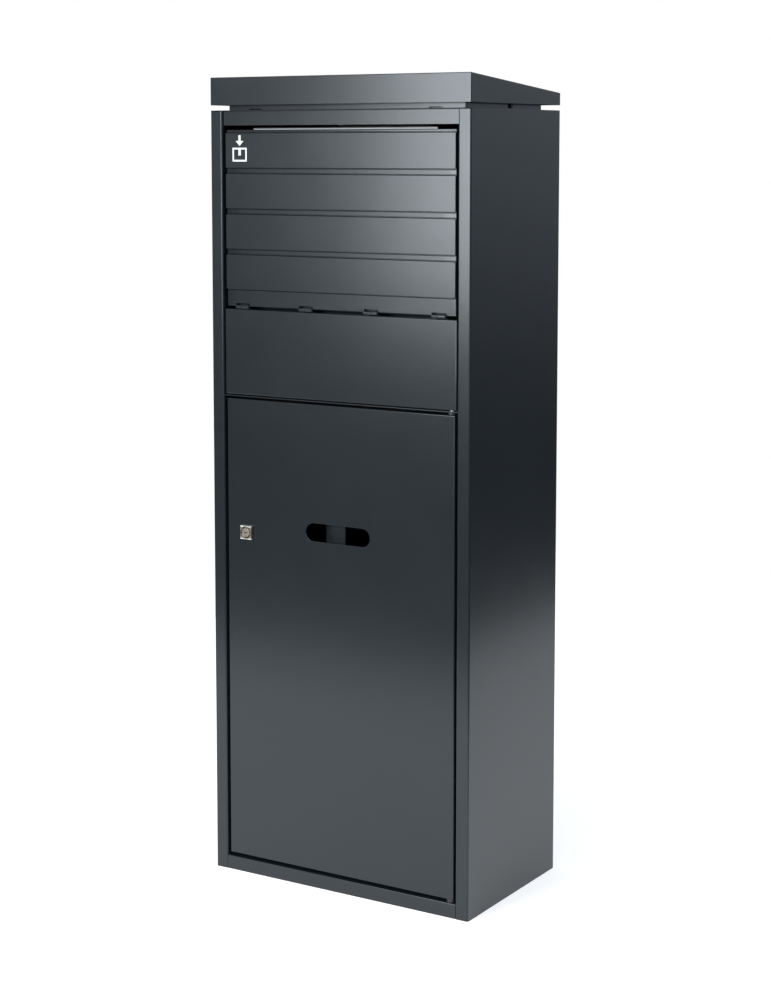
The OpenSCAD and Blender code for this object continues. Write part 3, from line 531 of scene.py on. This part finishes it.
def foldRoof(bm, corners):
    lowest, highest = corners
    rim, wall = 10 * mm, 2 * mm
    bend(bm, roofFold["front"],
         lambda e: min(v.co.z for v in e.verts) > lowest.z + rim and not along(e, 2))
    bend(bm, roofFold["corner"],
         lambda e: along(e, 2) and abs(abs(e.verts[0].co.x) - highest.x) < near["plane"], 3)
    foot, head = (Vector((0, y, z)) for y, z in (roofFold["lapFoot"], roofFold["lapHead"]))
    across = (head - foot).cross(Vector((1, 0, 0))).normalized()
    for way in (-1, 1):
        for step in (-0.5, 0.5, 0):
            skin = [f for f in bm.faces if f.normal.x * way > 0.3
                    and f.calc_center_median().x * way > highest.x - wall]
            sliceFaces(bm, skin, foot + across * roofFold["lapWidth"] * step, across)
        for vert in bm.verts:
            onLap = abs((vert.co - foot).dot(across)) < near["plane"] / 2
            if onLap and abs(vert.co.x * way - highest.x) < near["plane"]:
                vert.co.x -= roofFold["lapDepth"] * way


# the shadow line pressed along the top and bottom of every slat
slatLine = {"height": 1.7 * mm, "under": 0.2 * mm, "slope": 0.7 * mm, "depth": 1.35 * mm}

def pressLines(bm, front):
    top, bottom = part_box("top_slat"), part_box("bottom_slat")
    height = top[1].z - top[0].z
    pitch = height + top[0].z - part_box("upper_slats")[1].z
    count = round((top[0].z - bottom[0].z) / pitch) + 1

    def frontFaces():
        return [f for f in bm.faces if f.normal.y < -0.99
                and abs(f.calc_center_median().y - front) < near["plane"]]

    for number in range(count):
        foot = top[0].z - number * pitch
        head = foot + height
        for low, high in ((foot - slatLine["height"], foot + slatLine["under"]),
                          (head - slatLine["under"], head + slatLine["height"])):
            for level in (low, high):
                sliceFaces(bm, frontFaces(), (0, 0, level), (0, 0, 1))
            strip = [f for f in frontFaces() if low < f.calc_center_median().z < high]
            bmesh.ops.inset_region(bm, faces=strip, thickness=slatLine["slope"],
                                   depth=-slatLine["depth"], use_even_offset=True)


# folded sheets: the paint, and in millimetres the bends round the front face and the round on
# every cut edge
sheets = {
    "door_pan": {"paint": "doorCoat", "front": 1.7, "hem": 0.25},
    "middle_panel": {"paint": "cabinetCoat", "front": 1.7, "hem": 0.25},
    "hatch_pan": {"paint": "hatchCoat", "front": 1.3, "hem": 0.25},
    "top_slat": {"paint": "hatchCoat", "front": 0.9, "hem": 0.2},
    "upper_slats": {"paint": "hatchCoat", "front": 0.9, "hem": 0.2},
    "bottom_slat": {"paint": "hatchCoat", "front": 0.9, "hem": 0.2},
    "base_pan": {"paint": "cabinetCoat", "front": 0, "hem": 0.3},
    "top_rail": {"paint": "cabinetCoat", "front": 0, "hem": 0.3},
    "top_plate": {"paint": "cabinetCoat", "front": 0, "hem": 0.7},
    "door_header": {"paint": "cabinetCoat", "front": 0, "hem": 0.3},
    "left_side_panel": {"paint": "cabinetCoat", "front": 0, "hem": 0.3},
    "right_side_panel": {"paint": "cabinetCoat", "front": 0, "hem": 0.3},
    "back_panel": {"paint": "cabinetCoat", "front": 0, "hem": 0.3},
    "roof_neck": {"paint": "cabinetCoat", "front": 0, "hem": 0.3},
    "roof_cap": {"paint": "roofCoat", "front": 0, "hem": 0.3},
    "grip_lip": {"paint": "lipCoat", "front": 0, "hem": 0.6},
    "grip_plate": {"paint": "doorCoat", "front": 0, "hem": 0.3},
    "hatch_tail": {"paint": "hatchCoat", "front": 0, "hem": 0.3},
    "left_cheek": {"paint": "hatchCoat", "front": 0, "hem": 0.3},
    "right_cheek": {"paint": "hatchCoat", "front": 0, "hem": 0.3},
    "frame_hinge_leaves": {"paint": "cabinetCoat", "front": 0, "hem": 0.3},
    "hatch_hinge_leaves": {"paint": "hatchCoat", "front": 0, "hem": 0.3},
    "door_stops": {"paint": "cabinetCoat", "front": 0, "hem": 0.3},
}
cabinetBends = {"side": 1.5 * mm, "base": 1.4 * mm, "neck": 1.5 * mm}

def foldSheet(node, plan):
    bm = mergedCopy(node)
    lowest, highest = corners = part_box(node)
    onFront = onPlane(1, lowest.y)
    if plan["front"]:
        bend(bm, plan["front"] * mm,
             lambda e: onFront(e) and ("slat" in node or onOutline(e, corners, 1)))
    if node == "roof_cap":
        foldRoof(bm, corners)
    if node.endswith("side_panel"):
        outside = onPlane(0, highest.x if node.startswith("right") else lowest.x)
        bend(bm, cabinetBends["side"], lambda e: outside(e) and along(e, 1), 3)
    if node == "base_pan":
        onTop = onPlane(2, highest.z)
        bend(bm, cabinetBends["base"], lambda e: onTop(e) and onFront(e))
    if node == "roof_neck":
        outmost = highest.x - 0.1 * mm
        bend(bm, cabinetBends["neck"], lambda e: along(e, 2) and abs(e.verts[0].co.x) > outmost)
    bend(bm, plan["hem"] * mm, lambda e: True, 2)
    if node == "hatch_pan":
        pressLines(bm, lowest.y)
    finishPiece(camel(node, "Sheet"), bm, bodyOf[node], paints[plan["paint"]], [node])

for node, plan in sheets.items():
    foldSheet(node, plan)
print("folded sheets:", len(sheets))


# fittings: what each is made of, and the round on its edges in millimetres
fittings = {
    "zinc": {"material": zincSteel("zincPlate"), "edge": 0.2, "nodes": [
        "neck_screws", "neck_nuts", "roof_brackets", "panel_screws", "panel_nuts",
        "hatch_hinge_pins", "door_pivot_pins", "latch_motor", "latch_screws", "case_screws",
        "slat_rivets", "stop_pins", "door_stiffeners", "lock_nut", "lock_cam", "cam_screw",
        "latch_bolt"]},
    "nickel": {"material": nickel, "edge": 0.3, "nodes": ["lock_plug"]},
    "nylon": {"material": plastic("blackNylon"), "edge": 0.3, "nodes": [
        "panel_spacers", "door_pivot_washers", "door_pivot_bushes", "cable_clips"]},
    "rubber": {"material": plainSkin("blackRubber"), "edge": 0.6, "nodes": [
        "hatch_buffers", "door_buffers"]},
    "blackCase": {"material": plastic("blackCase"), "edge": 0.6, "nodes": [
        "latch_housing", "controller_case", "controller_cover"]},
    "blackScrew": {"material": plastic("blackScrew"), "edge": 0.2, "nodes": ["roof_screws"]},
    "board": {"material": solderMask("solderMask"), "edge": 0.1, "nodes": ["circuit_board"]},
    "cells": {"material": cellWrap("cellWrap"), "edge": 0.5, "nodes": ["battery_cells"]},
    "cable": {"material": plainSkin("cableJacket"), "edge": 0, "nodes": ["latch_cable"]},
}

def makeFitting(node, plan):
    bm = mergedCopy(node)
    if plan["edge"]:
        bend(bm, plan["edge"] * mm, lambda e: True, 2)
    finishPiece(camel(node, "Fitting"), bm, bodyOf[node], plan["material"], [node])

for plan in fittings.values():
    for node in plan["nodes"]:
        makeFitting(node, plan)
print("fittings done")


# the lock's square face, with a stepped ring round its plug
lockFace = {
    "corner": 0.9 * mm, "edge": 1.3 * mm, "steps": 48,
    "bore": 9 * mm, "flat": 10.2 * mm, "cornerFrom": 13 * mm,     # reaches from the plug's axis
    # radius and depth behind the face in millimetres, from the outside in
    "ring": [(9.7, 0.0), (9.4, 0.55), (8.9, 0.70), (8.5, 0.55), (8.3, 0.12), (7.7, 0.0),
             (7.1, 0.1), (6.75, 0.5)],
}

def makeLockFace():
    def reach(edge):
        return max((v.co - lockCentre).length for v in edge.verts)

    def rims():
        return [e for e in bm.edges if e.is_boundary]

    bm = mergedCopy("lock_housing")
    bend(bm, lockFace["corner"], lambda e: along(e, 1)
         and (e.verts[0].co - lockCentre).length > lockFace["cornerFrom"], 4)
    front = [f for f in bm.faces if f.normal.y < -0.9
             and abs(f.calc_center_median().y - lockLow.y) < near["plane"]]
    bmesh.ops.delete(bm, geom=front, context="FACES_ONLY")
    square = [e for e in rims() if reach(e) > lockFace["bore"]]
    bore = [e for e in rims() if reach(e) <= lockFace["bore"]]
    profile = [bm.verts.new(lockCentre + Vector((r * mm, depth * mm, 0)))
               for r, depth in lockFace["ring"]]
    lines = [bm.edges.new(pair) for pair in zip(profile, profile[1:])]
    bmesh.ops.spin(bm, geom=profile + lines, cent=lockCentre, axis=(0, 1, 0), angle=2 * pi,
                   steps=lockFace["steps"], use_merge=True)
    bmesh.ops.remove_doubles(bm, verts=bm.verts, dist=near["merge"])
    widest, narrowest = lockFace["ring"][0][0] * mm, lockFace["ring"][-1][0] * mm
    inner = [e for e in rims() if abs(reach(e) - narrowest) < 0.3 * mm and e not in bore]
    outer = [e for e in rims() if abs(reach(e) - widest) < 0.05 * mm]
    bmesh.ops.bridge_loops(bm, edges=[e for e in square if e.is_valid] + outer)
    bmesh.ops.bridge_loops(bm, edges=[e for e in bore if e.is_valid] + inner)
    bmesh.ops.recalc_face_normals(bm, faces=bm.faces)
    onFront = onPlane(1, lockLow.y)
    bend(bm, lockFace["edge"], lambda e: onFront(e) and reach(e) > lockFace["flat"], 3, 60)
    finishPiece("lockFace", bm, "door", nickel, ["lock_housing"])

makeLockFace()
print("lock face done")


# a plain parcel sign printed on the top slat: a box with its tape, under a downward arrow
parcelSign = {
    "centre": (-173.0, 1113.5), "ink": 0.05,
    # each bar's left, right, bottom and top, in millimetres from the centre
    "bars": [(-13, 13, -19.5, -16.9), (-13, 13, -1.6, 1.0), (-13, -10.4, -16.9, -1.6),
             (10.4, 13, -16.9, -1.6), (-2.2, 2.2, -10.5, -1.6), (-2.0, 2.0, 11.0, 19.5)],
    "arrow": [(-7.0, 11.0), (7.0, 11.0), (0.0, 3.6)],
}

def printSign():
    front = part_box("top_slat")[0].y
    centreX, centreZ = parcelSign["centre"]
    bm = bmesh.new()
    for left, right, bottom, top in parcelSign["bars"]:
        bar = bmesh.ops.create_grid(bm, x_segments=1, y_segments=1, size=0.5 * mm)["verts"]
        bmesh.ops.scale(bm, vec=(right - left, top - bottom, 1), verts=bar)
        bmesh.ops.translate(bm, vec=((left + right) / 2 * mm, (bottom + top) / 2 * mm, 0), verts=bar)
    bm.faces.new([bm.verts.new((x * mm, z * mm, 0)) for x, z in parcelSign["arrow"]])
    bmesh.ops.rotate(bm, cent=(0, 0, 0), matrix=Matrix.Rotation(radians(90), 3, "X"), verts=bm.verts)
    bmesh.ops.translate(bm, vec=(centreX * mm, front, centreZ * mm), verts=bm.verts)
    raised = bmesh.ops.extrude_face_region(bm, geom=bm.faces[:])
    bmesh.ops.translate(bm, vec=(0, -parcelSign["ink"] * mm, 0),
                        verts=[v for v in raised["geom"] if isinstance(v, bmesh.types.BMVert)])
    bmesh.ops.recalc_face_normals(bm, faces=bm.faces)
    finishPiece("parcelSign", bm, "hatch", plainSkin("whiteInk"))

printSign()
print("sign printed")


# the pale sheet that it stands on

def makeFloor():
    lowX, lowY = room["sheetLow"]
    highX, highY = room["sheetHigh"]
    bm = bmesh.new()
    bmesh.ops.create_grid(bm, x_segments=1, y_segments=1, size=0.5)
    bmesh.ops.scale(bm, vec=(highX - lowX, highY - lowY, 1), verts=bm.verts)
    bmesh.ops.translate(bm, vec=((lowX + highX) / 2, (lowY + highY) / 2, 0), verts=bm.verts)
    mesh = bpy.data.meshes.new("floor")
    bm.to_mesh(mesh)
    bm.free()
    floor = bpy.data.objects.new("floor", mesh)
    mesh.materials.append(paleFloor("paleFloor"))
    bpy.context.scene.collection.objects.link(floor)

makeFloor()
print("floor done")
